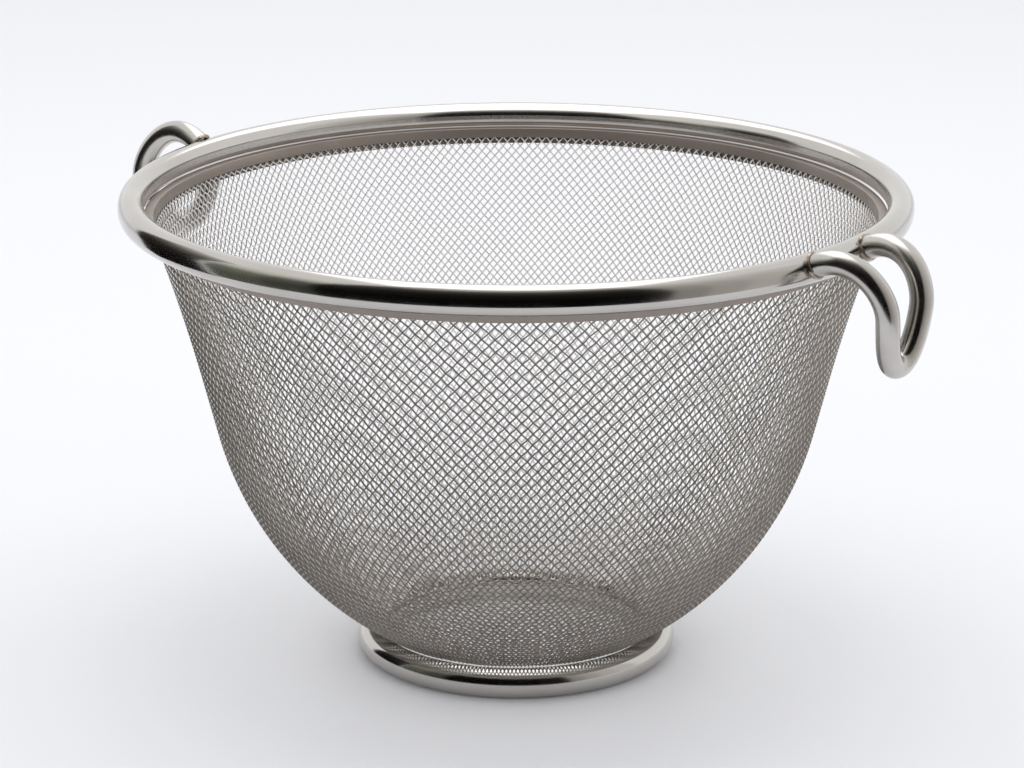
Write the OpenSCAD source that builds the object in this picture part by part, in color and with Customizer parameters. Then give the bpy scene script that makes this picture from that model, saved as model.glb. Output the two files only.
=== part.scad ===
// Mesh strainer basket: a woven wire bowl with a rolled rim, a foot ring and two bent rod handles.
// The origin is on the table, at the middle of the foot ring. The handles lie along X.

/* [Rim] */
// Outside diameter of the rolled rim
rim_d = 200; // [190:1:212]
// Height from the table to the top of the rim
overall_h = 123.4; // [119:0.1:128]
// Width of the rolled bead
bead_w = 6.6; // [6.2:0.1:7]
// Height of the rolled bead
bead_h = 7.4; // [7.1:0.1:8]
// Sheet thickness of the rolled bead
bead_wall = 0.8; // [0.6:0.1:1]
// Play between the bead and the wire hoop that it is rolled over
core_play = 0.15; // [0.05:0.05:0.3]

/* [Clamp bands] */
// Sheet thickness of the bands on both sides of the cloth
band_t = 0.7; // [0.5:0.1:0.9]
// How far the bands reach below the bead
band_drop = 2.9; // [1.8:0.1:4]
// How far the turned edge of the inner band lies below the middle of the bead
lip_drop = 1.7; // [1.4:0.1:2]
// Play between the cloth and each band
band_play = 0.05; // [0.02:0.01:0.1]

/* [Cloth bowl] */
// Thickness of the woven cloth, two wires deep
cloth_t = 1; // [0.8:0.1:1.2]
// Steepness of the straight part of the side, in degrees
side_angle = 75.9; // [74:0.1:77]
// Steepness of the cloth at the rim, in degrees
rim_angle = 70.1; // [69:0.1:72]
// Depth of the flared part under the rim
flare_h = 41; // [36:0.5:46]
// Height of the flat bottom above the table
base_z = 6.15; // [5.8:0.05:6.5]
// Radius of the bend around the flat bottom
corner_r = 8.2; // [7.5:0.1:9]
// Angle at which that bend ends
corner_angle = 30; // [27:0.5:32]

/* [Openings] */
// Openings around the side, a coarse grid in place of the fine weave
grid_around = 24; // [16:1:24]
// Rows of openings up the side
grid_rows = 6; // [4:1:7]
// Openings across the flat bottom
grid_across = 5; // [3:2:7]
// Width of the bars between the openings
bar_w = 3; // [2:0.2:4]

/* [Foot ring] */
// Outside diameter of the foot ring
foot_d = 82.3; // [78:0.1:86]
// Thickness of the foot ring
foot_w = 7.6; // [7.2:0.1:8]
// Sheet thickness of the rolled foot ring
foot_wall = 0.8; // [0.6:0.1:1]
// Width of the flat that the foot ring stands on
foot_flat = 2; // [1.5:0.1:2.4]

/* [Handles] */
// Diameter of the handle rod
rod_d = 5.8; // [5:0.1:6.2]
// Distance between the rod ends of the right handle, middle to middle
right_spread = 21.6; // [20:0.1:24]
// How far the right handle stands out from the rim, to the middle of the rod
right_reach = 17.3; // [16:0.1:20]
// Distance between its two legs where they turn down
right_hook_w = 14.2; // [13.4:0.1:16]
// How far it hooks down below the middle of the rim bead
right_drop = 22.4; // [21:0.2:26]
// Slope of its rods where they leave the rim, in degrees
right_angle = 24; // [20:0.5:28]
// Distance between the rod ends of the left handle, middle to middle
left_spread = 15.8; // [14:0.1:17]
// How far the wide leg of the left handle stands out from the rim
left_reach = 18.4; // [17:0.1:20]
// How far its close leg stands out from the rim
left_close_reach = 5; // [4.6:0.1:8]
// Distance between its two legs where they turn down, along the rim
left_hook_w = 12.6; // [12:0.1:14]
// How far it hooks down below the middle of the rim bead
left_drop = 22; // [21:0.2:26]
// Slope of its wide leg where it leaves the rim, in degrees
left_angle = 34.7; // [30:0.1:38]
// Slope of its close leg where it leaves the rim, in degrees
left_close_angle = -20; // [-30:1:-10]
// How far the left handle is welded out of line with the right one, in degrees
left_skew = 2.5; // [0:0.1:5]
// How far below the middle of the bead both legs point straight down
turn_drop = 8.8; // [8:0.1:9.6]
// Roundness of the bend above that turn, as the length of its curve handle
turn_up = 6.5; // [6:0.1:7]
// Roundness of the bend below that turn
turn_down = 3.7; // [3.2:0.1:4.4]
// Roundness of the bottom of the hook
low_len = 5.2; // [4.8:0.1:6]
// How far the bottom of the hook leans back towards the bowl
hook_tuck = 1.5; // [0:0.1:2.5]
// Size of the weld bead around each rod end
weld_w = 0.9; // [0.7:0.1:1.4]
// How far short of the middle of the rim bead the weld bead ends
weld_short = 0.6; // [0.5:0.1:0.8]

/* [Hidden] */
$fn = 96;

steel = "silver";
dark_steel = "darkgray";

// Section of the rim bead: an upright oval made of two circles
bead_r = rim_d / 2 - bead_w / 2;
bead_z = overall_h - bead_h / 2;
bead_shift = (bead_h - bead_w) / 2;
core_d = bead_w - 2 * bead_wall - 2 * core_play;

// Distance from the axis to the side of the oval section at a depth below its middle
function bead_inner(depth) = bead_r - sqrt(pow(bead_w / 2, 2) - pow(depth - bead_shift, 2));

// Levels of the clamp bands and the cloth edge
lip_z = bead_z - lip_drop;
lip_under = lip_z - band_t;
edge_z = lip_under - 2 * band_play - cloth_t * cos(rim_angle);
band_z = bead_z - bead_h / 2 - band_drop;
lip_r = bead_inner(lip_drop) - band_play;

// Foot ring section, round with a narrow flat where it stands
foot_r = foot_d / 2 - foot_w / 2;
foot_z = sqrt(pow(foot_w / 2, 2) - pow(foot_flat / 2, 2));

// Profile of the cloth: flat bottom, corner bend, round shoulder, straight side and flare.
// The flat ends where the corner bend rests on the foot ring.
corner_z = base_z + corner_r;
flat_r = foot_r - sqrt(pow(corner_r + foot_w / 2 + band_play, 2) - pow(corner_z - foot_z, 2));
flare_r = flare_h / (cos(rim_angle) - cos(side_angle));
flare_run = flare_r * (sin(side_angle) - sin(rim_angle));
top_r = lip_r - band_t - 2 * band_play;
// The shoulder radius and the straight length close the profile in height and in width
rise = edge_z - flare_h - base_z - corner_r * (1 - cos(corner_angle));
run = top_r - flare_run - flat_r - corner_r * sin(corner_angle);
arc_up = cos(corner_angle) - cos(side_angle);
arc_out = sin(side_angle) - sin(corner_angle);
side_len = (rise * arc_out - run * arc_up) / (sin(side_angle) * arc_out - cos(side_angle) * arc_up);
shoulder_r = (rise - side_len * sin(side_angle)) / arc_up;

corner_c = [flat_r, corner_z];
shoulder_c = corner_c + (corner_r - shoulder_r) * [sin(corner_angle), -cos(corner_angle)];
side_end = shoulder_c + shoulder_r * [sin(side_angle), -cos(side_angle)]
         + side_len * [cos(side_angle), sin(side_angle)];
flare_c = side_end + flare_r * [sin(side_angle), -cos(side_angle)];

// Outer radius of the flared cloth at a height
function cloth_r(z) = flare_c.x - sqrt(pow(flare_r, 2) - pow(z - flare_c.y, 2));

// Points along one face of the cloth, set in from the outer face by a depth
function arc(c, r, a0, a1, steps) = [for (i = [0:steps])
    let (a = a0 + (a1 - a0) * i / steps) c + r * [sin(a), -cos(a)]];
bend_steps = 6;
shoulder_steps = 16;
function cloth_face(depth) = concat(
    [[0, base_z + depth]],
    arc(corner_c, corner_r - depth, 0, corner_angle, bend_steps),
    arc(shoulder_c, shoulder_r - depth, corner_angle, side_angle, shoulder_steps),
    arc(flare_c, -flare_r - depth, side_angle, rim_angle, bend_steps));
function backwards(p) = [for (i = [len(p) - 1:-1:0]) p[i]];

// Point of the outer face above the corner bend, at a length along the face
shoulder_len = shoulder_r * (side_angle - corner_angle) * PI / 180;
function side_point(s) = s < shoulder_len
    ? let (a = corner_angle + s / shoulder_r * 180 / PI) shoulder_c + shoulder_r * [sin(a), -cos(a)]
    : s < shoulder_len + side_len
    ? side_end - (shoulder_len + side_len - s) * [cos(side_angle), sin(side_angle)]
    : let (a = side_angle - (s - shoulder_len - side_len) / flare_r * 180 / PI)
        flare_c - flare_r * [sin(a), -cos(a)];
// The rows of openings end one bar below the bands
grid_top = acos((band_z - bar_w - flare_c.y) / flare_r);
grid_len = shoulder_len + side_len + flare_r * (side_angle - grid_top) * PI / 180;
row_len = grid_len / grid_rows;
base_pitch = 2 * flat_r / (grid_across + 1);

// A rod end rests square on the round outer side of the rim bead, at the slope of its leg
function leave(slope) = [cos(slope), 0, sin(slope)];
function rod_end(slope, side_y) =
    [bead_r, side_y, sign(slope) * bead_shift] + (bead_w / 2 + band_play) * leave(slope);
weld_depth = bead_w / 2 - weld_short;

// Route of a handle rod, with heights counted from the middle of the bead. Each leg leaves the rim,
// turns down at its reach and meets the other leg at the bottom of the hook, as two smooth curves.
// The upper curve pulls outward by leave_share of its run, and leans by lean_share of its sideways step.
leave_share = 0.65;
lean_share = 0.3;
leg_steps = 14;
function curve(a, b, c, d, t) = pow(1 - t, 3) * a + 3 * pow(1 - t, 2) * t * b
    + 3 * (1 - t) * t * t * c + pow(t, 3) * d;
function leg(slope, side_y, turn, low, along) =
    let (start = rod_end(slope, side_y),
         lean = [0, (start.y - turn.y) * lean_share, turn_up],
         pull = (turn.x - start.x) * leave_share * leave(slope))
    concat(
        [for (i = [0:leg_steps]) curve(start, start + pull, turn + lean, turn, i / leg_steps)],
        [for (i = [1:leg_steps]) curve(turn, turn - lean * turn_down / turn_up, low + low_len * along, low,
            i / leg_steps)]);
function rod_route(spread, slope_a, slope_b, turn_a, turn_b, drop) =
    let (across = [turn_a.x - turn_b.x, turn_a.y - turn_b.y, 0],
         along = across / norm(across),
         low = [(turn_a.x + turn_b.x) / 2 - hook_tuck, (turn_a.y + turn_b.y) / 2, -drop],
         leg_a = leg(slope_a, spread / 2, turn_a, low, along),
         leg_b = leg(slope_b, -spread / 2, turn_b, low, -along))
    concat(leg_a, [for (i = [len(leg_b) - 2:-1:0]) leg_b[i]]);
rim_r = rim_d / 2;
left_wide_share = 0.73;
left_wide = left_hook_w * left_wide_share;
right_rod = rod_route(right_spread, right_angle, right_angle,
    [rim_r + right_reach, right_hook_w / 2, -turn_drop],
    [rim_r + right_reach, -right_hook_w / 2, -turn_drop], right_drop);
left_rod = rod_route(left_spread, left_angle, left_close_angle,
    [rim_r + left_reach, left_wide, -turn_drop],
    [rim_r + left_close_reach, left_wide - left_hook_w, -turn_drop], left_drop);
rod_sides = 24;

// Frame of the rod section at a point of the route: the section stays square to the route
function unit(v) = v / norm(v);
function heading(p, i) = unit(p[min(i + 1, len(p) - 1)] - p[max(i - 1, 0)]);
function side_dir(h, last) = unit(last - (last * h) * h);
function side_dirs(p, i = 0, last = [0, 1, 0]) = i == len(p) ? [] :
    let (s = side_dir(heading(p, i), last)) concat([s], side_dirs(p, i + 1, s));

module tube(p, r, sides) {
    dirs = side_dirs(p);
    rings = [for (i = [0:len(p) - 1]) let (h = heading(p, i), s = dirs[i], n = cross(h, s))
        for (k = [0:sides - 1]) p[i] + r * (cos(360 * k / sides) * s + sin(360 * k / sides) * n)];
    last = (len(p) - 1) * sides;
    skin = [for (i = [0:len(p) - 2]) for (k = [0:sides - 1])
        [i * sides + k, (i + 1) * sides + k, (i + 1) * sides + (k + 1) % sides, i * sides + (k + 1) % sides]];
    start_cap = [[for (k = [0:sides - 1]) k]];
    end_cap = [[for (k = [sides - 1:-1:0]) last + k]];
    polyhedron(rings, concat(skin, start_cap, end_cap), convexity = 6);
}

module bead_section(grow) {
    for (s = [-1, 1]) translate([bead_r, bead_z + s * bead_shift]) circle(d = bead_w + 2 * grow);
    translate([bead_r - bead_w / 2 - grow, bead_z - bead_shift]) square([bead_w + 2 * grow, 2 * bead_shift]);
}

module rim_bead() {
    color(steel) rotate_extrude() difference() {
        bead_section(0);
        bead_section(-bead_wall);
    }
}

module rim_core() {
    color(dark_steel) rotate_extrude() translate([bead_r, bead_z]) circle(d = core_d);
}

module rim_collar() {
    // Face of the band that lies against the inside of the cloth
    function inside(z) = cloth_r(z) - cloth_t / sin(rim_angle) - band_play;
    color(steel) rotate_extrude() polygon([
        [inside(band_z), band_z], [inside(lip_under), lip_under], [lip_r, lip_under],
        [lip_r, lip_z], [inside(lip_z) - band_t, lip_z], [inside(band_z) - band_t, band_z]]);
}

module rim_skirt() {
    // Face of the band that lies against the outside of the cloth
    function outside(z) = cloth_r(z) + band_play;
    color(steel) rotate_extrude() polygon([
        [outside(band_z), band_z], [outside(band_z) + band_t, band_z],
        [outside(edge_z) + band_t, edge_z], [outside(edge_z), edge_z]]);
}

// Cutters for one row of openings around the side, between two lengths along the face
module side_openings(from, to) {
    low = side_point(from);
    high = side_point(to);
    step = 360 / grid_around;
    open = step - bar_w / (low.x + high.x) * 2 * 180 / PI;
    inward = cloth_t / sin(corner_angle) + bar_w;
    for (i = [0:grid_around - 1]) rotate(i * step + (step - open) / 2) rotate_extrude(angle = open)
        translate([low.x - inward, low.y]) square([high.x - low.x + inward + bar_w, high.y - low.y]);
}

// Cutters for the openings in the flat bottom that fit inside it whole
module base_openings() {
    hole = base_pitch - bar_w;
    last = (grid_across - 1) / 2;
    for (i = [-last:last]) for (j = [-last:last])
        if (norm([abs(i), abs(j)] * base_pitch + [hole, hole] / 2) < flat_r)
            translate([i * base_pitch - hole / 2, j * base_pitch - hole / 2, base_z - cloth_t])
                cube([hole, hole, 3 * cloth_t]);
}

module mesh_bowl() {
    color(dark_steel) difference() {
        rotate_extrude() polygon(concat(cloth_face(0), backwards(cloth_face(cloth_t))));
        for (i = [0:grid_rows - 1]) side_openings(i * row_len + bar_w, (i + 1) * row_len);
        base_openings();
    }
}

module foot_ring() {
    color(steel) rotate_extrude() difference() {
        translate([foot_r, foot_z]) circle(d = foot_w);
        translate([foot_r, foot_z]) circle(d = foot_w - 2 * foot_wall);
        translate([foot_r - foot_w, -foot_w]) square([2 * foot_w, foot_w]);
    }
}

module handle_right() {
    color(steel) translate([0, 0, bead_z]) tube(right_rod, rod_d / 2, rod_sides);
}

module handle_left() {
    color(steel) rotate(180 + left_skew) translate([0, 0, bead_z]) tube(left_rod, rod_d / 2, rod_sides);
}

// Facets of the rim where the weld beads are cut to lie against it
fine_fn = 360;

// Weld bead around a rod end, filling the wedge between the flat rod end and the round rim
module weld(slope, side_y) {
    inner = (rod_d + band_play) / 2;
    outer = rod_d / 2 + weld_w;
    color(dark_steel) difference() {
        translate(rod_end(slope, side_y) + [0, 0, bead_z]) rotate([0, 90 - slope, 0])
            rotate_extrude() polygon([[inner, -weld_depth], [outer, -weld_depth], [outer, 0], [inner, weld_w]]);
        rotate_extrude($fn = fine_fn) bead_section(band_play / 2);
    }
}

module weld_right_a() {
    weld(right_angle, right_spread / 2);
}

module weld_right_b() {
    weld(right_angle, -right_spread / 2);
}

module weld_left_a() {
    rotate(180 + left_skew) weld(left_angle, left_spread / 2);
}

module weld_left_b() {
    rotate(180 + left_skew) weld(left_close_angle, -left_spread / 2);
}

rim_bead();
rim_core();
rim_collar();
rim_skirt();
mesh_bowl();
foot_ring();
handle_right();
handle_left();
weld_right_a();
weld_right_b();
weld_left_a();
weld_left_b();
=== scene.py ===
"""Looks of the mesh strainer basket: a woven wire bowl with a rolled rim, a foot ring and two rod handles."""

import math

import bmesh
import bpy
import numpy as np
from mathutils import Matrix, Vector, noise

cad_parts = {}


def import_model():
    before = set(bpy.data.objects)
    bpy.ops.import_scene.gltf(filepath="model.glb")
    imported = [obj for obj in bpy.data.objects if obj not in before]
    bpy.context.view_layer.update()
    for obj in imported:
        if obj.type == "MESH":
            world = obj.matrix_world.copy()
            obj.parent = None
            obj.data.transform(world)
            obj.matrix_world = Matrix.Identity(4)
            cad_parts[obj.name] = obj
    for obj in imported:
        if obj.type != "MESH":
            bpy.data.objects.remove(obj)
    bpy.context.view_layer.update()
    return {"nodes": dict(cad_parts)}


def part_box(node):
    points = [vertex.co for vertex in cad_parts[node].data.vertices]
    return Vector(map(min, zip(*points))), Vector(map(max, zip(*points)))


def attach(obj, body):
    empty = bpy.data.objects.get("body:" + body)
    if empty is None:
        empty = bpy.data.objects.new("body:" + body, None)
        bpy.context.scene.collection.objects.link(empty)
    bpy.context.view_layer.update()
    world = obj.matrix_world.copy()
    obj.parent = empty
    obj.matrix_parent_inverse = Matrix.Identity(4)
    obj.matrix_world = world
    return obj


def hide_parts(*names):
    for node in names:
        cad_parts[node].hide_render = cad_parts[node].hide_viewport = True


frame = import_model()

bl_info = {
    "name": "Mesh Strainer Basket",
    "version": (1, 0, 0),
    "blender": (4, 5, 0),
    "location": "View3D > Sidebar > Strainer",
    "description": "Builds a woven wire strainer with its rolled rim, foot ring, handles and studio",
    "category": "Add Mesh",
}

MM = 0.001
RIM_LOW, RIM_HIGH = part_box("rim_bead")
FOOT_LOW, FOOT_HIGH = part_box("foot_ring")
BOWL_LOW, BOWL_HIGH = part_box("mesh_bowl")
BAND_LOW, BAND_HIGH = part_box("rim_skirt")


def linear(code):
    """Turns an sRGB hex colour into the linear colour that shaders use."""
    parts = [int(code[i:i + 2], 16) / 255 for i in (1, 3, 5)]
    return [c / 12.92 if c <= 0.04045 else ((c + 0.055) / 1.055) ** 2.4 for c in parts] + [1.0]


def size(name, description, default):
    """A length in metres that the user can change."""
    return bpy.props.FloatProperty(name=name, description=description, default=default,
                                   unit="LENGTH", precision=5)


def angle(name, description, degrees):
    """An angle that the user can change."""
    return bpy.props.FloatProperty(name=name, description=description, default=math.radians(degrees),
                                   subtype="ANGLE")


def colour(name, description, code):
    """A colour that the user can change."""
    return bpy.props.FloatVectorProperty(name=name, description=description, default=linear(code),
                                         size=4, min=0, max=1, subtype="COLOR")


class StrainerRim(bpy.types.PropertyGroup):
    """Sizes of the rolled rim, its clamp bands and the foot ring."""

    rim_radius: size("Rim radius", "From the axis to the outside of the rim bead", RIM_HIGH.x)
    rim_top: size("Rim height", "From the table to the top of the rim bead", RIM_HIGH.z)
    bead_height: size("Bead height", "Height of the rim bead", RIM_HIGH.z - RIM_LOW.z)
    bead_width: size("Bead width", "Width of the rim bead", 6.6 * MM)
    band: size("Band thickness", "Sheet thickness of the clamp bands", 0.7 * MM)
    band_foot: size("Band edge height", "Height of the lower edge of the clamp bands", BAND_LOW.z)
    lip_drop: size("Lip depth", "Depth of the inner band's turned edge below the middle of the bead", 1.7 * MM)
    play: size("Play", "Play between parts that touch", 0.05 * MM)
    collar_rise: size("Collar rise", "How much higher than the skirt the inner band ends", 1.8 * MM)
    lip_gap: size("Lip gap", "Open seam between the bead and the inner band", 0.6 * MM)
    foot_radius: size("Foot radius", "From the axis to the outside of the foot ring", FOOT_HIGH.x)
    foot_height: size("Foot height", "Height of the foot ring", FOOT_HIGH.z)
    foot_width: size("Foot width", "Thickness of the foot ring", 7.6 * MM)


class StrainerMesh(bpy.types.PropertyGroup):
    """Sizes of the woven wire and of the bowl that it is pressed into."""

    wires: bpy.props.IntProperty(name="Wires", description="Wires of each hand round the bowl, a multiple of 4",
                                 default=224, min=40, max=240)
    wire: size("Wire", "Diameter of the woven wire", 0.39 * MM)
    crimp: bpy.props.FloatProperty(name="Crimp", description="How far wires bend round each other, as a share",
                                   default=1, min=0, max=1)
    slack: bpy.props.FloatProperty(name="Slack", description="How far a wire strays, as a share of the pitch",
                                   default=0.03, min=0, max=0.4)
    coarse_turn: angle("Coarse side", "Where round the rim the cloth was stretched coarsest", -50.76)
    coarse_skew: angle("Skew", "How far to either side of that the two hands are coarsest", 15)
    stretch: bpy.props.FloatProperty(name="Stretch", description="Share by which wires lie further apart there",
                                     default=0.15, min=0, max=0.3)
    stretch_narrow: bpy.props.FloatProperty(name="Narrow stretch", description="The same in a narrower place",
                                            default=0.08, min=0, max=0.2)
    climb: bpy.props.FloatProperty(name="Climb", description="How far a wire turns round the axis on its way down",
                                   default=0.9, min=0.5, max=1.3)
    climb_low: bpy.props.FloatProperty(name="Low climb", description="How much less it turns towards the foot",
                                       default=0.07, min=0, max=0.1)
    cloth: size("Cloth", "Room that the woven cloth takes", 1 * MM)
    base: size("Base height", "Height of the flat bottom above the table", BOWL_LOW.z)
    base_pitch: size("Base pitch", "Distance between wires in the flat bottom", 2.1 * MM)
    flare: size("Flare depth", "Depth of the flared part under the rim", 41 * MM)
    corner: size("Corner radius", "Bend around the flat bottom", 8.2 * MM)
    corner_slope: angle("Corner slope", "Slope at which that bend ends", 30)
    side_slope: angle("Side slope", "Slope of the straight part of the side", 75.9)
    rim_slope: angle("Rim slope", "Slope of the mesh at the rim", 70.1)


class StrainerHandle(bpy.types.PropertyGroup):
    """Sizes of one bent rod handle."""

    rod: size("Rod", "Diameter of the handle rod", 5.8 * MM)
    spread: size("Spread", "Distance between the rod ends, middle to middle", 21.6 * MM)
    reach: size("Reach", "How far the wide leg stands out from the rim", 17.3 * MM)
    close_reach: size("Close reach", "How far the other leg stands out from the rim", 17.3 * MM)
    side: size("Wide side", "Offset of the wide leg from the handle's middle line", 7.1 * MM)
    close_side: size("Close side", "Offset of the other leg from the handle's middle line", 7.1 * MM)
    drop: size("Drop", "How far the hook reaches below the middle of the bead", 22.4 * MM)
    slope: angle("Slope", "Slope of the wide leg where it leaves the rim", 24)
    close_slope: angle("Close slope", "Slope of the other leg where it leaves the rim", 24)
    turn: angle("Turn", "Where the handle sits round the rim", 0)


class StrainerFinish(bpy.types.PropertyGroup):
    """Colours of the steel and of the studio."""

    steel: colour("Steel", "Polished stainless steel", "#CDCAC6")
    steel_worn: colour("Worn steel", "The same steel where handling has dulled it", "#BAB6B1")
    band: colour("Band", "Satin stainless strip of the clamp bands", "#9C928A")
    band_worn: colour("Worn band", "The same strip where it has been rubbed", "#857B73")
    wire: colour("Wire", "Woven stainless wire", "#A09A94")
    wire_dull: colour("Dull wire", "The same wire where washing has left it dull", "#766E67")
    # Painted highlight: a pale tone laid on the inner side of the woven wires
    inner_wire_painted_highlight: colour("Lime", "Dried water marks on the inside of the wires", "#F2F0EC")
    weld: colour("Weld", "Weld bead", "#BAB3AB")
    tint: colour("Heat tint", "Heat tint on the weld bead", "#8A7A6C")
    floor: colour("Floor", "Pale satin table top", "#EEEFF1")


def add(tree, kind, links=(), values=(), **settings):
    """Adds a shader node with its settings, its socket values and the links into it."""
    made = tree.nodes.new(kind)
    for name, value in settings.items():
        setattr(made, name, value)
    for socket, value in dict(values).items():
        made.inputs[socket].default_value = value
    for source, socket in links:
        tree.links.new(source, made.inputs[socket])
    return made


def blank_material(name):
    """A material whose node tree holds nothing yet."""
    made = bpy.data.materials.new(name)
    made.use_nodes = True
    made.node_tree.nodes.clear()
    return made, made.node_tree


def spun_stainless():
    """Stainless steel sheet, spun and polished in the lathe.

    The eye sees a mirror with faint rings round the axis and a few dull patches from handling."""
    finish = bpy.context.scene.strainer_finish
    made, tree = blank_material("polished_spun_stainless")
    place = add(tree, "ShaderNodeTexCoord")
    parts = add(tree, "ShaderNodeSeparateXYZ", [(place.outputs["Object"], 0)])
    flat = add(tree, "ShaderNodeCombineXYZ", [(parts.outputs["X"], 0), (parts.outputs["Y"], 1)])
    radius = add(tree, "ShaderNodeVectorMath", [(flat.outputs[0], 0)], operation="LENGTH")
    rings = add(tree, "ShaderNodeCombineXYZ", [(radius.outputs["Value"], 0), (parts.outputs["Z"], 1)])
    # Polishing lines are 0.1 mm apart, drawn 0.4 mm apart so that they show
    lines = add(tree, "ShaderNodeTexNoise", [(rings.outputs[0], "Vector")],
                {"Scale": 2500.0, "Detail": 3.0, "Roughness": 0.6})
    # Dull patches about 20 mm across
    patches = add(tree, "ShaderNodeTexNoise", [(place.outputs["Object"], "Vector")],
                  {"Scale": 50.0, "Detail": 5.0, "Roughness": 0.55})
    dull = add(tree, "ShaderNodeMapRange", [(patches.outputs["Fac"], "Value")],
               {"From Min": 0.35, "From Max": 0.75, "To Min": 0.12, "To Max": 0.2})
    tone = add(tree, "ShaderNodeMix", [(patches.outputs["Fac"], "Factor")],
               {"A": finish.steel, "B": finish.steel_worn}, data_type="RGBA")
    relief = add(tree, "ShaderNodeBump", [(lines.outputs["Fac"], "Height")],
                 {"Strength": 0.25, "Distance": 0.004 * MM})
    shader = add(tree, "ShaderNodeBsdfPrincipled",
                 [(tone.outputs["Result"], "Base Color"), (dull.outputs["Result"], "Roughness"),
                  (relief.outputs["Normal"], "Normal")], {"Metallic": 1.0})
    add(tree, "ShaderNodeOutputMaterial", [(shader.outputs["BSDF"], "Surface")])
    return made


def satin_stainless():
    """Stainless strip, rolled satin and dulled by washing.

    The eye sees a soft brownish grey with fine lines round the rim, and no clear mirror."""
    finish = bpy.context.scene.strainer_finish
    made, tree = blank_material("satin_rolled_stainless_strip")
    place = add(tree, "ShaderNodeTexCoord")
    parts = add(tree, "ShaderNodeSeparateXYZ", [(place.outputs["Object"], 0)])
    flat = add(tree, "ShaderNodeCombineXYZ", [(parts.outputs["X"], 0), (parts.outputs["Y"], 1)])
    radius = add(tree, "ShaderNodeVectorMath", [(flat.outputs[0], 0)], operation="LENGTH")
    rings = add(tree, "ShaderNodeCombineXYZ", [(radius.outputs["Value"], 0), (parts.outputs["Z"], 1)])
    # Rolling lines are 0.05 mm apart, drawn 0.3 mm apart so that they show
    lines = add(tree, "ShaderNodeTexNoise", [(rings.outputs[0], "Vector")],
                {"Scale": 3300.0, "Detail": 3.0, "Roughness": 0.7})
    patches = add(tree, "ShaderNodeTexNoise", [(place.outputs["Object"], "Vector")],
                  {"Scale": 80.0, "Detail": 5.0, "Roughness": 0.6})
    dull = add(tree, "ShaderNodeMapRange", [(patches.outputs["Fac"], "Value")],
               {"From Min": 0.35, "From Max": 0.7, "To Min": 0.3, "To Max": 0.42})
    tone = add(tree, "ShaderNodeMix", [(patches.outputs["Fac"], "Factor")],
               {"A": finish.band, "B": finish.band_worn}, data_type="RGBA")
    relief = add(tree, "ShaderNodeBump", [(lines.outputs["Fac"], "Height")],
                 {"Strength": 0.4, "Distance": 0.01 * MM})
    shader = add(tree, "ShaderNodeBsdfPrincipled",
                 [(tone.outputs["Result"], "Base Color"), (dull.outputs["Result"], "Roughness"),
                  (relief.outputs["Normal"], "Normal")], {"Metallic": 0.6})
    add(tree, "ShaderNodeOutputMaterial", [(shader.outputs["BSDF"], "Surface")])
    return made


def bent_rod_stainless():
    """Drawn stainless rod, bent cold and polished.

    The eye sees a mirror that is a little softer than the rim, with fine scratches."""
    finish = bpy.context.scene.strainer_finish
    made, tree = blank_material("polished_drawn_stainless_rod")
    place = add(tree, "ShaderNodeTexCoord")
    scratches = add(tree, "ShaderNodeTexNoise", [(place.outputs["Object"], "Vector")],
                    {"Scale": 1400.0, "Detail": 4.0, "Roughness": 0.6})
    patches = add(tree, "ShaderNodeTexNoise", [(place.outputs["Object"], "Vector")],
                  {"Scale": 130.0, "Detail": 4.0, "Roughness": 0.6})
    dull = add(tree, "ShaderNodeMapRange", [(patches.outputs["Fac"], "Value")],
               {"From Min": 0.3, "From Max": 0.75, "To Min": 0.18, "To Max": 0.27})
    tone = add(tree, "ShaderNodeMix", [(patches.outputs["Fac"], "Factor")],
               {"A": finish.steel, "B": finish.steel_worn}, data_type="RGBA")
    relief = add(tree, "ShaderNodeBump", [(scratches.outputs["Fac"], "Height")],
                 {"Strength": 0.2, "Distance": 0.006 * MM})
    shader = add(tree, "ShaderNodeBsdfPrincipled",
                 [(tone.outputs["Result"], "Base Color"), (dull.outputs["Result"], "Roughness"),
                  (relief.outputs["Normal"], "Normal")], {"Metallic": 1.0})
    add(tree, "ShaderNodeOutputMaterial", [(shader.outputs["BSDF"], "Surface")])
    return made


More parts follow.
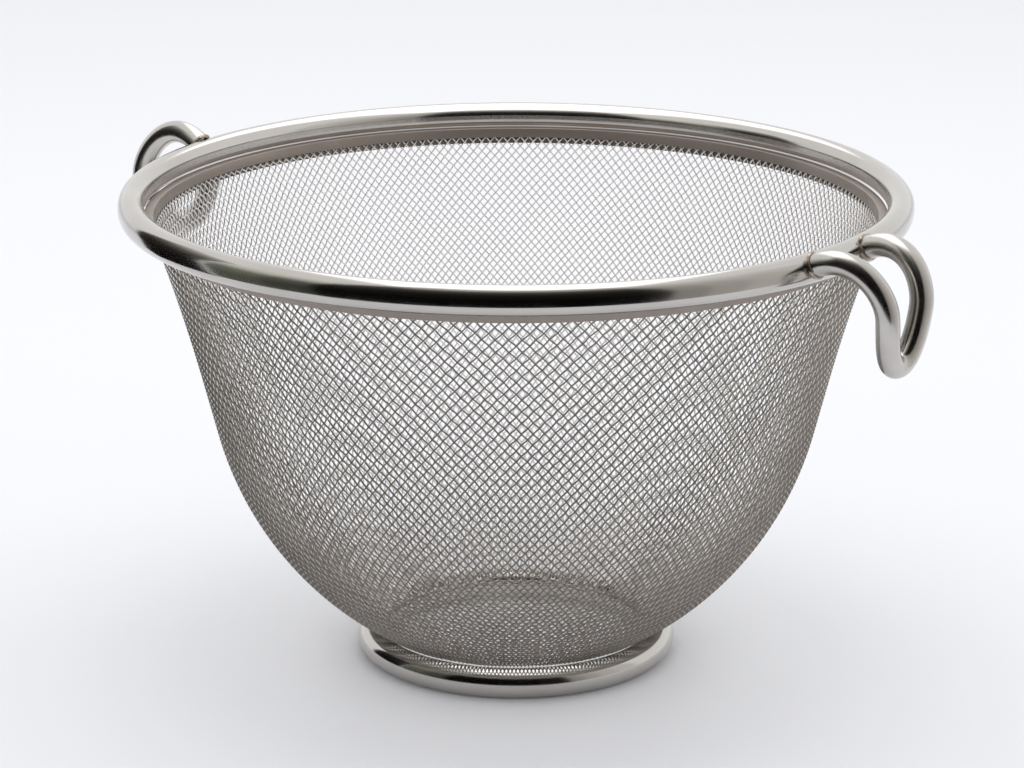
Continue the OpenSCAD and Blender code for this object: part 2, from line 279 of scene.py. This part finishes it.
def woven_stainless():
    """Woven stainless wire, pressed into a bowl and washed many times.

    The eye sees thin dull wires, darker outside; the side facing into the bowl has a painted highlight, a paler and
    less metallic tone that stands in for the glare on the far wall."""
    finish = bpy.context.scene.strainer_finish
    made, tree = blank_material("woven_stainless_wire")
    place = add(tree, "ShaderNodeTexCoord")
    skin = add(tree, "ShaderNodeNewGeometry")
    grime = add(tree, "ShaderNodeTexNoise", [(place.outputs["Object"], "Vector")],
                {"Scale": 90.0, "Detail": 6.0, "Roughness": 0.7})
    streaks = add(tree, "ShaderNodeTexNoise", [(place.outputs["Object"], "Vector")],
                  {"Scale": 1800.0, "Detail": 2.0, "Roughness": 0.5})
    # The side of a wire that faces into the bowl points back towards the middle of its foot
    outward = add(tree, "ShaderNodeVectorMath", [(skin.outputs["Normal"], 0), (place.outputs["Object"], 1)],
                  operation="DOT_PRODUCT")
    inside = add(tree, "ShaderNodeMapRange", [(outward.outputs["Value"], "Value")],
                 {"From Min": 20 * MM, "From Max": -50 * MM})
    steel = add(tree, "ShaderNodeMix", [(grime.outputs["Fac"], "Factor")],
                {"A": finish.wire, "B": finish.wire_dull}, data_type="RGBA")
    # Painted highlight: the inner side of each wire is mixed towards the pale tone and made less metallic
    tone = add(tree, "ShaderNodeMix", [(inside.outputs["Result"], "Factor"), (steel.outputs["Result"], "A")],
               {"B": finish.inner_wire_painted_highlight}, data_type="RGBA")
    metal = add(tree, "ShaderNodeMapRange", [(inside.outputs["Result"], "Value")],
                {"To Min": 1.0, "To Max": 0.0})
    dull = add(tree, "ShaderNodeMapRange", [(streaks.outputs["Fac"], "Value")],
               {"From Min": 0.3, "From Max": 0.7, "To Min": 0.34, "To Max": 0.48})
    shader = add(tree, "ShaderNodeBsdfPrincipled",
                 [(tone.outputs["Result"], "Base Color"), (dull.outputs["Result"], "Roughness"),
                  (metal.outputs["Result"], "Metallic")])
    add(tree, "ShaderNodeOutputMaterial", [(shader.outputs["BSDF"], "Surface")])
    return made


def weld_stainless():
    """Stainless weld bead, left as it was laid.

    The eye sees small lumps with a brown heat tint between brighter crests."""
    finish = bpy.context.scene.strainer_finish
    made, tree = blank_material("welded_stainless_bead")
    place = add(tree, "ShaderNodeTexCoord")
    lumps = add(tree, "ShaderNodeTexNoise", [(place.outputs["Object"], "Vector")],
                {"Scale": 900.0, "Detail": 4.0, "Roughness": 0.6})
    tint = add(tree, "ShaderNodeMapRange", [(lumps.outputs["Fac"], "Value")],
               {"From Min": 0.35, "From Max": 0.65})
    tone = add(tree, "ShaderNodeMix", [(tint.outputs["Result"], "Factor")],
               {"A": finish.tint, "B": finish.weld}, data_type="RGBA")
    relief = add(tree, "ShaderNodeBump", [(lumps.outputs["Fac"], "Height")],
                 {"Strength": 0.5, "Distance": 0.1 * MM})
    shader = add(tree, "ShaderNodeBsdfPrincipled",
                 [(tone.outputs["Result"], "Base Color"), (relief.outputs["Normal"], "Normal")],
                 {"Metallic": 1.0, "Roughness": 0.28})
    add(tree, "ShaderNodeOutputMaterial", [(shader.outputs["BSDF"], "Surface")])
    return made


def drawn_core_wire():
    """Drawn steel wire hoop inside the rolled rim.

    It stays out of sight, and has the grey of plain drawn wire with lines along it."""
    finish = bpy.context.scene.strainer_finish
    made, tree = blank_material("drawn_steel_core_wire")
    place = add(tree, "ShaderNodeTexCoord")
    lines = add(tree, "ShaderNodeTexNoise", [(place.outputs["Object"], "Vector")],
                {"Scale": 700.0, "Detail": 3.0})
    tone = add(tree, "ShaderNodeMix", [(lines.outputs["Fac"], "Factor")],
               {"A": finish.wire, "B": finish.wire_dull}, data_type="RGBA")
    shader = add(tree, "ShaderNodeBsdfPrincipled", [(tone.outputs["Result"], "Base Color")],
                 {"Metallic": 1.0, "Roughness": 0.35})
    add(tree, "ShaderNodeOutputMaterial", [(shader.outputs["BSDF"], "Surface")])
    return made


def finish_piece(bm, name, material, slot, *nodes):
    """Writes a bmesh to an object that rides on the strainer and stands for its CAD nodes."""
    mesh = bpy.data.meshes.new(name)
    bm.to_mesh(mesh)
    bm.free()
    mesh.shade_smooth()
    mesh.set_sharp_from_angle(angle=math.radians(50))
    mesh.materials.append(material)
    piece = bpy.data.objects.new(name, mesh)
    bpy.context.scene.collection.objects.link(piece)
    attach(piece, "root")
    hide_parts(*nodes)
    return piece


def spin_section(bm, steps):
    """Turns the outline in a bmesh once round the Z axis, into a closed ring."""
    bmesh.ops.spin(bm, geom=bm.verts[:] + bm.edges[:], cent=(0, 0, 0), axis=(0, 0, 1),
                   angle=math.tau, steps=steps, use_merge=True)
    bmesh.ops.remove_doubles(bm, verts=bm.verts, dist=0.001 * MM)
    bmesh.ops.recalc_face_normals(bm, faces=bm.faces)


def upright_circle(bm, radius, middle_r, middle_z, segments):
    """A circle that stands in the XZ plane, away from the axis."""
    place = Matrix.Translation((middle_r, 0, middle_z)) @ Matrix.Rotation(math.pi / 2, 4, "X")
    return bmesh.ops.create_circle(bm, segments=segments, radius=radius, matrix=place)["verts"]


def band_section(bm, corners, rounding):
    """The outline of a band in the XZ plane, with its corners rounded."""
    face = bm.faces.new([bm.verts.new((r, 0, z)) for r, z in corners])
    bmesh.ops.bevel(bm, geom=face.verts[:], offset=rounding, segments=4, profile=0.5,
                    affect="VERTICES", material=-1)
    bmesh.ops.delete(bm, geom=bm.faces[:], context="FACES_ONLY")


def slope_arc(middle, radius, start, end, steps):
    """Points of an arc, from the slope at its start to the slope at its end."""
    slopes = np.linspace(start, end, steps)
    return np.column_stack((middle[0] + radius * np.sin(slopes), middle[1] - radius * np.cos(slopes)))


class BowlProfile:
    """The middle of the woven cloth, from the flat bottom to its upper edge."""

    def __init__(self):
        rim = bpy.context.scene.strainer_rim
        mesh = bpy.context.scene.strainer_mesh
        corner, side, top = mesh.corner_slope, mesh.side_slope, mesh.rim_slope
        bead_r = rim.rim_radius - rim.bead_width / 2
        bead_z = rim.rim_top - rim.bead_height / 2
        shift = (rim.bead_height - rim.bead_width) / 2
        self.lip_z = bead_z - rim.lip_drop
        self.lip_r = bead_r - math.sqrt((rim.bead_width / 2) ** 2 - (rim.lip_drop - shift) ** 2) - rim.play
        self.edge_z = self.lip_z - rim.band - 2 * rim.play - mesh.cloth * math.cos(top)
        top_r = self.lip_r - rim.band - 2 * rim.play
        foot_r = rim.foot_radius - rim.foot_width / 2
        self.foot_z = rim.foot_height - rim.foot_width / 2
        # The flat bottom ends where the corner bend rests on the foot ring
        corner_z = mesh.base + mesh.corner
        touch = mesh.corner + rim.foot_width / 2 + rim.play
        self.flat_r = foot_r - math.sqrt(touch ** 2 - (corner_z - self.foot_z) ** 2)
        flare_r = mesh.flare / (math.cos(top) - math.cos(side))
        rise = self.edge_z - mesh.flare - mesh.base - mesh.corner * (1 - math.cos(corner))
        run = top_r - flare_r * (math.sin(side) - math.sin(top)) - self.flat_r - mesh.corner * math.sin(corner)
        up, out = math.cos(corner) - math.cos(side), math.sin(side) - math.sin(corner)
        straight = (rise * out - run * up) / (math.sin(side) * out - math.cos(side) * up)
        shoulder_r = (rise - straight * math.sin(side)) / up
        corner_c = np.array((self.flat_r, corner_z))
        shoulder_c = corner_c + (mesh.corner - shoulder_r) * np.array((math.sin(corner), -math.cos(corner)))
        side_end = (shoulder_c + shoulder_r * np.array((math.sin(side), -math.cos(side)))
                    + straight * np.array((math.cos(side), math.sin(side))))
        self.flare_c = side_end + flare_r * np.array((math.sin(side), -math.cos(side)))
        self.flare_r = flare_r
        depth = mesh.cloth / 2
        points = np.vstack((
            slope_arc(corner_c, mesh.corner - depth, 0, corner, 40),
            slope_arc(shoulder_c, shoulder_r - depth, corner, side, 200)[1:],
            slope_arc(self.flare_c, -flare_r - depth, side, top, 200)))
        steps = np.hypot(*np.diff(points, axis=0).T)
        self.points = points
        along = np.gradient(points, axis=0)
        along /= np.hypot(*along.T)[:, None]
        self.out = np.column_stack((along[:, 1], -along[:, 0]))
        # A wire at 45 degrees turns round the axis by its rise over the radius
        mean_r = (points[1:, 0] + points[:-1, 0]) / 2
        self.turned = np.concatenate(([0], np.cumsum(steps / mean_r)))

    def face(self, z, depth):
        """Radius of the cloth near the rim at a height, at a depth from its outer face."""
        return self.flare_c[0] - math.sqrt((self.flare_r + depth) ** 2 - (z - self.flare_c[1]) ** 2)

    def at(self, turned):
        """Radii, heights and outward directions where a wire has turned by some angles."""
        return ([np.interp(turned, self.turned, self.points[:, i]) for i in (0, 1)],
                [np.interp(turned, self.turned, self.out[:, i]) for i in (0, 1)])


def wire_number(turn):
    """Which wire of a hand leaves the rim at a turn, counted in radians: they are spaced unevenly."""
    mesh = bpy.context.scene.strainer_mesh
    skewed = turn + mesh.coarse_skew
    return turn - mesh.stretch * np.sin(skewed) - mesh.stretch_narrow / 2 * np.sin(2 * skewed)


def wire_route(profile, index, way):
    """Points along one wire that climbs round the bowl, over and under the wires of the other hand."""
    mesh = bpy.context.scene.strainer_mesh
    pitch = math.tau / mesh.wires
    starts = np.linspace(-math.tau, 2 * math.tau, 4000)
    start = np.interp(index * pitch, wire_number(starts), starts)
    down = np.linspace(0, profile.turned[-1], 400)
    turn = mesh.climb * down - mesh.climb_low * down ** 3
    # The other hand is the mirror image of this one, and is crossed once for each whole number
    other = wire_number(2 * turn - start) / pitch
    met = np.arange(math.ceil(2 * other[0]), math.floor(2 * other[-1]) + 1) / 2
    down, place = np.interp(met, other, down), way * np.interp(met, other, start - turn)
    # Wires that cross at a place share its stray
    stray = [[mesh.slack * pitch * noise.noise(Vector((math.cos(a) * 8, math.sin(a) * 8, d * 8 + seed)))
              for a, d in zip(place, down)] for seed in (0, 40)]
    lift = way * np.cos(math.pi * met) * (-1) ** index * mesh.crimp * mesh.wire / 2
    (radius, height), (out_r, out_z) = profile.at(np.clip(profile.turned[-1] - down + stray[0], 0, None))
    radius, turn = radius + out_r * lift, mesh.coarse_turn + place + stray[1]
    return np.column_stack((radius * np.cos(turn), radius * np.sin(turn), height + out_z * lift))


def tube(splines, diameter, sides):
    """A bmesh of round wires that follow lists of points."""
    curve = bpy.data.curves.new("wire_path", "CURVE")
    curve.dimensions = "3D"
    curve.bevel_depth = diameter / 2
    curve.bevel_resolution = sides // 2 - 2
    curve.use_fill_caps = True
    for points in splines:
        spline = curve.splines.new("POLY")
        spline.points.add(len(points) - 1)
        spline.points.foreach_set("co", [c for p in points for c in (*p, 1.0)])
    return curve_bmesh(curve)


def curve_bmesh(curve):
    """A bmesh of a curve with its thickness."""
    path = bpy.data.objects.new(curve.name, curve)
    bpy.context.scene.collection.objects.link(path)
    bpy.context.view_layer.update()
    mesh = bpy.data.meshes.new_from_object(path.evaluated_get(bpy.context.evaluated_depsgraph_get()))
    bpy.data.objects.remove(path)
    bpy.data.curves.remove(curve)
    bm = bmesh.new()
    bm.from_mesh(mesh)
    bpy.data.meshes.remove(mesh)
    bmesh.ops.recalc_face_normals(bm, faces=bm.faces)
    return bm


class STRAINER_OT_rim(bpy.types.Operator):
    """Make the rolled rim bead and the two clamp bands that hold the cloth under it"""

    bl_idname = "strainer.rim"
    bl_label = "Rim"

    def execute(self, context):
        rim, mesh, profile = context.scene.strainer_rim, context.scene.strainer_mesh, BowlProfile()
        satin = satin_stainless()
        bead_r = rim.rim_radius - rim.bead_width / 2
        bead_z = rim.rim_top - rim.bead_height / 2
        bm = bmesh.new()
        circle = upright_circle(bm, rim.bead_width / 2, bead_r, bead_z, 64)
        for side in (-1, 1):
            half = [v for v in circle if side * (v.co.z - bead_z) > 0.01 * MM]
            bmesh.ops.translate(bm, verts=half, vec=(0, 0, side * (rim.bead_height - rim.bead_width) / 2))
        spin_section(bm, 360)
        finish_piece(bm, "rim_bead_polished", spun_stainless(), "rim", "rim_bead")

        def inside(z):
            return profile.face(z, mesh.cloth) - rim.play

        def outside(z):
            return profile.face(z, 0) + rim.play

        lip_z = profile.lip_z - rim.lip_gap
        lip_under = lip_z - rim.band
        low = rim.band_foot + rim.collar_rise
        bm = bmesh.new()
        # The band thins out towards its lower edge, so the cloth shows right up to it
        band_section(bm, [(inside(low), low), (inside(lip_under), lip_under),
                          (profile.lip_r, lip_under), (profile.lip_r, lip_z),
                          (inside(lip_z) - rim.band, lip_z),
                          (inside(low) - rim.band * 0.5, low)], rim.band * 0.2)
        spin_section(bm, 360)
        finish_piece(bm, "rim_collar_satin", satin, "bands", "rim_collar")
        bm = bmesh.new()
        band_section(bm, [(outside(rim.band_foot), rim.band_foot),
                          (outside(rim.band_foot) + rim.band, rim.band_foot),
                          (outside(profile.edge_z) + rim.band, profile.edge_z),
                          (outside(profile.edge_z), profile.edge_z)], rim.band * 0.3)
        spin_section(bm, 360)
        finish_piece(bm, "rim_skirt_satin", satin, "bands", "rim_skirt")
        return {"FINISHED"}


class STRAINER_OT_core(bpy.types.Operator):
    """Give the wire hoop inside the rim its finish"""

    bl_idname = "strainer.core"
    bl_label = "Rim core"

    def execute(self, context):
        core = frame["nodes"]["rim_core"]
        core.data.materials.clear()
        core.data.materials.append(drawn_core_wire())
        return {"FINISHED"}


class STRAINER_OT_foot(bpy.types.Operator):
    """Make the foot ring"""

    bl_idname = "strainer.foot"
    bl_label = "Foot ring"

    def execute(self, context):
        rim = context.scene.strainer_rim
        bm = bmesh.new()
        middle_z = rim.foot_height - rim.foot_width / 2
        circle = upright_circle(bm, rim.foot_width / 2, rim.foot_radius - rim.foot_width / 2, middle_z, 72)
        for corner in circle:
            corner.co.z = max(corner.co.z, 0)
        spin_section(bm, 300)
        finish_piece(bm, "foot_ring_polished", spun_stainless(), "foot", "foot_ring")
        return {"FINISHED"}


class STRAINER_OT_wall(bpy.types.Operator):
    """Weave the side of the bowl from wires that climb both ways round it"""

    bl_idname = "strainer.wall"
    bl_label = "Woven side"

    def execute(self, context):
        mesh, profile = context.scene.strainer_mesh, BowlProfile()
        steel = woven_stainless()
        share = mesh.wires // 4
        for hand, way in (("right", 1), ("left", -1)):
            for quarter in range(4):
                routes = [wire_route(profile, quarter * share + i, way) for i in range(share)]
                finish_piece(tube(routes, mesh.wire, 6), f"mesh_wires_{hand}_{quarter + 1}", steel,
                             "cloth", "mesh_bowl")
        return {"FINISHED"}


class STRAINER_OT_base(bpy.types.Operator):
    """Weave the flat bottom of the bowl"""

    bl_idname = "strainer.base"
    bl_label = "Woven bottom"

    def execute(self, context):
        mesh, profile = context.scene.strainer_mesh, BowlProfile()
        radius = profile.flat_r
        middle = mesh.base + mesh.cloth / 2
        count = int(radius / mesh.base_pitch)
        routes = []
        for way in (0, 1):
            for i in range(-count, count + 1):
                offset = i * mesh.base_pitch
                reach = math.sqrt(radius ** 2 - offset ** 2)
                steps = int(reach / (mesh.base_pitch / 2))
                route = []
                for j in range(-steps, steps + 1):
                    along = j * mesh.base_pitch / 2
                    sign = 1 if (i + way) % 2 else -1
                    lift = sign * math.cos(j * math.pi / 2) * mesh.wire / 2
                    spot = (along, offset) if way else (offset, along)
                    route.append((*spot, middle + lift))
                if len(route) > 2:
                    routes.append(route)
        bm = tube(routes, mesh.wire, 6)
        # The bottom is the same cloth, so its wires point where those of the coarse side do
        bmesh.ops.rotate(bm, verts=bm.verts, matrix=Matrix.Rotation(mesh.coarse_turn + math.pi / 4, 3, "Z"))
        finish_piece(bm, "mesh_wires_bottom", woven_stainless(), "cloth", "mesh_bowl")
        return {"FINISHED"}


TURN_DROP = 8.8 * MM
TURN_UP = 6.5 * MM
TURN_DOWN = 3.7 * MM
LOW_LENGTH = 5.2 * MM
HOOK_TUCK = 1.5 * MM
LEAVE_SHARE = 0.65
LEAN_SHARE = 0.3


class HandleRoute:
    """Where a handle rod leaves the rim, turns down and meets its other leg."""

    def __init__(self, handle):
        rim = bpy.context.scene.strainer_rim
        bead_r = rim.rim_radius - rim.bead_width / 2
        bead_z = rim.rim_top - rim.bead_height / 2
        shift = (rim.bead_height - rim.bead_width) / 2
        self.leaves, self.starts = [], []
        for side, slope in ((1, handle.slope), (-1, handle.close_slope)):
            leave = Vector((math.cos(slope), 0, math.sin(slope)))
            seat = Vector((bead_r, side * handle.spread / 2, bead_z + math.copysign(shift, slope)))
            self.leaves.append(leave)
            self.starts.append(seat + leave * (rim.bead_width / 2 + rim.play))
        turn_z = bead_z - TURN_DROP
        self.turns = [Vector((rim.rim_radius + handle.reach, handle.side, turn_z)),
                      Vector((rim.rim_radius + handle.close_reach, -handle.close_side, turn_z))]
        across = self.turns[0] - self.turns[1]
        self.low = (self.turns[0] + self.turns[1]) / 2 - Vector((HOOK_TUCK, 0, 0))
        self.low.z = bead_z - handle.drop
        self.along = across.normalized() * LOW_LENGTH

    def points(self):
        """Each curve point with its two handles, from one rod end to the other."""
        legs = []
        for start, leave, turn in zip(self.starts, self.leaves, self.turns):
            pull = (turn.x - start.x) * LEAVE_SHARE * leave
            lean = Vector((0, (start.y - turn.y) * LEAN_SHARE, TURN_UP))
            legs.append([(start, start - pull, start + pull),
                         (turn, turn + lean, turn - lean * TURN_DOWN / TURN_UP)])
        middle = [(self.low, self.low + self.along, self.low - self.along)]
        back = [(point, after, before) for point, before, after in reversed(legs[1])]
        return legs[0] + middle + back


class STRAINER_OT_handles(bpy.types.Operator):
    """Bend the two rod handles"""

    bl_idname = "strainer.handles"
    bl_label = "Handles"

    def execute(self, context):
        steel = bent_rod_stainless()
        for side in ("right", "left"):
            handle = getattr(context.scene, f"strainer_{side}_handle")
            curve = bpy.data.curves.new("rod_path", "CURVE")
            curve.dimensions = "3D"
            curve.resolution_u = 32
            curve.bevel_depth = handle.rod / 2
            curve.bevel_resolution = 14
            curve.use_fill_caps = True
            spline = curve.splines.new("BEZIER")
            points = HandleRoute(handle).points()
            spline.bezier_points.add(len(points) - 1)
            for made, (spot, before, after) in zip(spline.bezier_points, points):
                made.handle_left_type = made.handle_right_type = "FREE"
                made.co, made.handle_left, made.handle_right = spot, before, after
            bm = curve_bmesh(curve)
            bmesh.ops.remove_doubles(bm, verts=bm.verts, dist=0.001 * MM)
            ends = [e for f in bm.faces if len(f.verts) > 4 for e in f.edges]
            bmesh.ops.bevel(bm, geom=ends, offset=0.6 * MM, segments=4, profile=0.5, affect="EDGES",
                            material=-1)
            bmesh.ops.rotate(bm, verts=bm.verts, matrix=Matrix.Rotation(handle.turn, 3, "Z"))
            finish_piece(bm, f"handle_{side}_rod", steel, "rod", f"handle_{side}")
        return {"FINISHED"}


class STRAINER_OT_welds(bpy.types.Operator):
    """Lay a lumpy weld bead round each rod end"""

    bl_idname = "strainer.welds"
    bl_label = "Weld beads"

    def execute(self, context):
        steel = weld_stainless()
        for side in ("right", "left"):
            handle = getattr(context.scene, f"strainer_{side}_handle")
            route = HandleRoute(handle)
            for letter, start, leave in zip("ab", route.starts, route.leaves):
                bm = bmesh.new()
                upright_circle(bm, 0.62 * MM, handle.rod / 2 - 0.1 * MM, 0, 16)
                spin_section(bm, 72)
                for corner in bm.verts:
                    spot = corner.co / (1.3 * MM) + Vector((17.3 * ord(letter), len(side) * 5.1, 0))
                    corner.co += corner.normal * noise.noise(spot) * 0.3 * MM
                tip = leave.to_track_quat("Z", "Y").to_matrix().to_4x4()
                place = Matrix.Translation(start - leave * 0.45 * MM) @ tip
                bmesh.ops.transform(bm, matrix=Matrix.Rotation(handle.turn, 4, "Z") @ place, verts=bm.verts)
                finish_piece(bm, f"weld_{side}_{letter}_bead", steel, "weld", f"weld_{side}_{letter}")
        return {"FINISHED"}


PHOTO_TURN = math.radians(39.24)


def around(turn, distance, height=0.0):
    """A place at an angle from the camera's side, counted to the camera's right."""
    return Vector((math.sin(PHOTO_TURN + turn) * distance, -math.cos(PHOTO_TURN + turn) * distance, height))


def camera():
    """The camera at the photograph's viewing angle."""
    rise, distance = math.radians(16.68), 0.95
    target = Vector((0, 0, 71 * MM))
    data = bpy.data.cameras.new("photo_camera")
    data.sensor_width = 36
    data.lens = 130.44
    data.shift_x = -4 / 1024
    made = bpy.data.objects.new("photo_camera", data)
    back = around(0, math.cos(rise), math.sin(rise))
    made.location = target + back * distance
    made.rotation_euler = (-back).to_track_quat("-Z", "Y").to_euler()
    bpy.context.scene.collection.objects.link(made)
    bpy.context.scene.camera = made


def softbox(name, place, target, width, height, power):
    """A large soft lamp."""
    data = bpy.data.lights.new(name, "AREA")
    data.shape = "RECTANGLE"
    data.size, data.size_y, data.energy = width, height, power
    made = bpy.data.objects.new(name, data)
    made.location = place
    made.rotation_euler = (target - place).to_track_quat("-Z", "Y").to_euler()
    made.visible_glossy = False
    made.visible_camera = False
    bpy.context.scene.collection.objects.link(made)


def mirrored_only(bm, name, foot, brow, tones):
    """A card that only shows in reflections, with its tones spread from its foot to its brow."""
    made, tree = blank_material(name)
    place = add(tree, "ShaderNodeTexCoord")
    parts = add(tree, "ShaderNodeSeparateXYZ", [(place.outputs["Object"], 0)])
    flat = add(tree, "ShaderNodeCombineXYZ", [(parts.outputs["X"], 0), (parts.outputs["Y"], 1)])
    reach = add(tree, "ShaderNodeVectorMath", [(flat.outputs[0], 0)], operation="LENGTH")
    share = add(tree, "ShaderNodeMapRange", [(reach.outputs["Value"], "Value")],
                {"From Min": foot, "From Max": brow})
    ramp = add(tree, "ShaderNodeValToRGB", [(share.outputs["Result"], "Fac")])
    stops = ramp.color_ramp.elements
    stops[0].color, stops[1].color = linear(tones[0]), linear(tones[-1])
    for i, code in enumerate(tones[1:-1], 1):
        stops.new(i / (len(tones) - 1)).color = linear(code)
    shader = add(tree, "ShaderNodeEmission", [(ramp.outputs["Color"], "Color")])
    add(tree, "ShaderNodeOutputMaterial", [(shader.outputs["Emission"], "Surface")])
    mesh = bpy.data.meshes.new(name)
    bm.to_mesh(mesh)
    bm.free()
    mesh.materials.append(made)
    piece = bpy.data.objects.new(name, mesh)
    bpy.context.scene.collection.objects.link(piece)
    piece.visible_camera = False
    piece.visible_shadow = False
    piece.visible_diffuse = False
    return shader


def card(name, first, last, foot, brow, top, tones):
    """A card that curves round the strainer and in over it, from its foot on the floor to its brow."""
    bm = bmesh.new()
    ring = [bm.verts.new(around(math.radians(first), brow + (foot - brow) * math.cos(a), top * math.sin(a)))
            for a in np.linspace(0, math.pi / 2, 16)]
    edges = [bm.edges.new(pair) for pair in zip(ring, ring[1:])]
    bmesh.ops.spin(bm, geom=ring + edges, cent=(0, 0, 0), axis=(0, 0, 1),
                   angle=math.radians(last - first), steps=32)
    mirrored_only(bm, name, foot, brow, tones)


def light_strip(width, front, back, height, strength):
    """A bright strip over the strainer, that only shows in reflections."""
    bm = bmesh.new()
    bmesh.ops.create_grid(bm, x_segments=1, y_segments=1, size=0.5)
    bmesh.ops.scale(bm, vec=(width, back - front, 1), verts=bm.verts)
    bmesh.ops.translate(bm, vec=(0, (back + front) / 2, height), verts=bm.verts)
    bmesh.ops.rotate(bm, verts=bm.verts, matrix=Matrix.Rotation(PHOTO_TURN, 3, "Z"))
    shader = mirrored_only(bm, "light_strip", 0, 1, ["#FFFFFF", "#FFFFFF"])
    shader.inputs["Strength"].default_value = strength


def floor():
    """A pale glossy table top."""
    made, tree = blank_material("pale_table_top")
    shader = add(tree, "ShaderNodeBsdfPrincipled",
                 values={"Base Color": bpy.context.scene.strainer_finish.floor, "Roughness": 0.6})
    add(tree, "ShaderNodeOutputMaterial", [(shader.outputs["BSDF"], "Surface")])
    bm = bmesh.new()
    bmesh.ops.create_circle(bm, cap_ends=True, segments=96, radius=40)
    mesh = bpy.data.meshes.new("floor")
    bm.to_mesh(mesh)
    bm.free()
    mesh.materials.append(made)
    piece = bpy.data.objects.new("floor", mesh)
    bpy.context.scene.collection.objects.link(piece)


def world():
    """White all round for the eye and for reflections, and a plainer level for the light it gives."""
    made = bpy.data.worlds.new("studio")
    made.use_nodes = True
    tree = made.node_tree
    tree.nodes.clear()
    path = add(tree, "ShaderNodeLightPath")
    shown = add(tree, "ShaderNodeMath", [(path.outputs["Is Camera Ray"], 0), (path.outputs["Is Glossy Ray"], 1)],
                operation="MAXIMUM")
    seen = add(tree, "ShaderNodeMath", [(shown.outputs[0], 0), (path.outputs["Is Transmission Ray"], 1)],
               operation="MAXIMUM")
    light = add(tree, "ShaderNodeBackground", values={"Color": linear("#FCFCFF"), "Strength": 0.85})
    white = add(tree, "ShaderNodeBackground", values={"Color": linear("#FFFFFF"), "Strength": 1.0})
    mixed = add(tree, "ShaderNodeMixShader", [(seen.outputs[0], 0), (light.outputs[0], 1), (white.outputs[0], 2)])
    add(tree, "ShaderNodeOutputWorld", [(mixed.outputs[0], "Surface")])
    bpy.context.scene.world = made


class STRAINER_OT_stage(bpy.types.Operator):
    """Set up the camera, the pale floor, the soft lamps and the dark cards that the steel mirrors"""

    bl_idname = "strainer.stage"
    bl_label = "Studio"

    def execute(self, context):
        camera()
        floor()
        world()
        softbox("overhead_softbox", around(math.pi, 0.25, 1.1), Vector((0, 0, 0.06)), 1.3, 1.0, 5.2)
        light_strip(0.24, -0.1, 0.5, 0.41, 2.2)
        card("dark_side", -115, -83, 0.29, 0.2, 0.26, ["#100F0F", "#322F2D", "#6E6B68", "#AFACA8", "#D7D4D0"])
        card("green_grey_side", -83, -65, 0.335, 0.17, 0.3, ["#5A5E53", "#84887C", "#E2E3DA", "#FAFAF4", "#FFFFFF"])
        card("green_side", -65, -49, 0.335, 0.17, 0.32, ["#42443D", "#6E7068", "#D8D9D0", "#FAFAF4", "#FFFFFF"])
        card("dark_front", -49, 36.5, 0.31, 0.1, 0.4, ["#030303", "#242220", "#54514E", "#C0BDB9", "#F6F5F3"])
        card("grey_side", 36.5, 47, 0.33, 0.12, 0.4, ["#A09D9A", "#B4B1AD", "#CFCCC8", "#E4E2DF", "#FFFFFF"])
        card("paler_side", 47, 58, 0.33, 0.13, 0.4, ["#B8B5B1", "#C6C3BF", "#DAD7D4", "#EAE8E5", "#FFFFFF"])
        card("pale_side", 58, 72, 0.33, 0.14, 0.4, ["#CFCCC8", "#D8D5D2", "#E6E4E1", "#F2F1EF", "#FFFFFF"])
        card("light_side", 72, 88, 0.33, 0.15, 0.4, ["#DCDAD7", "#E4E2E0", "#EEECEA", "#F6F5F4", "#FFFFFF"])
        context.scene.view_settings.view_transform = "Standard"
        return {"FINISHED"}


class STRAINER_PT_panel(bpy.types.Panel):
    """Lists the pieces of the strainer"""

    bl_idname = "STRAINER_PT_panel"
    bl_label = "Mesh strainer basket"
    bl_space_type = "VIEW_3D"
    bl_region_type = "UI"
    bl_category = "Strainer"

    def draw(self, context):
        for operator in OPERATORS:
            self.layout.operator(operator.bl_idname)


GROUPS = (StrainerRim, StrainerMesh, StrainerHandle, StrainerFinish)
OPERATORS = (STRAINER_OT_stage, STRAINER_OT_rim, STRAINER_OT_core, STRAINER_OT_wall, STRAINER_OT_base,
             STRAINER_OT_foot, STRAINER_OT_handles, STRAINER_OT_welds)


def register():
    for made in (*GROUPS, *OPERATORS, STRAINER_PT_panel):
        bpy.utils.register_class(made)
    bpy.types.Scene.strainer_rim = bpy.props.PointerProperty(type=StrainerRim)
    bpy.types.Scene.strainer_mesh = bpy.props.PointerProperty(type=StrainerMesh)
    bpy.types.Scene.strainer_right_handle = bpy.props.PointerProperty(type=StrainerHandle)
    bpy.types.Scene.strainer_left_handle = bpy.props.PointerProperty(type=StrainerHandle)
    bpy.types.Scene.strainer_finish = bpy.props.PointerProperty(type=StrainerFinish)


def unregister():
    for name in ("rim", "mesh", "right_handle", "left_handle", "finish"):
        delattr(bpy.types.Scene, f"strainer_{name}")
    for made in (STRAINER_PT_panel, *reversed(OPERATORS), *reversed(GROUPS)):
        bpy.utils.unregister_class(made)


def set_left_handle(handle):
    """The left handle was bent askew: one leg arches out and the other stays close to the rim."""
    handle.spread = 15.8 * MM
    handle.reach, handle.close_reach = 18.4 * MM, 5 * MM
    handle.side, handle.close_side = 9.198 * MM, 3.402 * MM
    handle.drop = 22 * MM
    handle.slope, handle.close_slope = math.radians(34.7), math.radians(-20)
    handle.turn = math.radians(182.5)


def main():
    register()
    set_left_handle(bpy.context.scene.strainer_left_handle)
    for operator in OPERATORS:
        getattr(bpy.ops.strainer, operator.bl_idname.split(".")[1])()


if __name__ == "__main__":
    main()
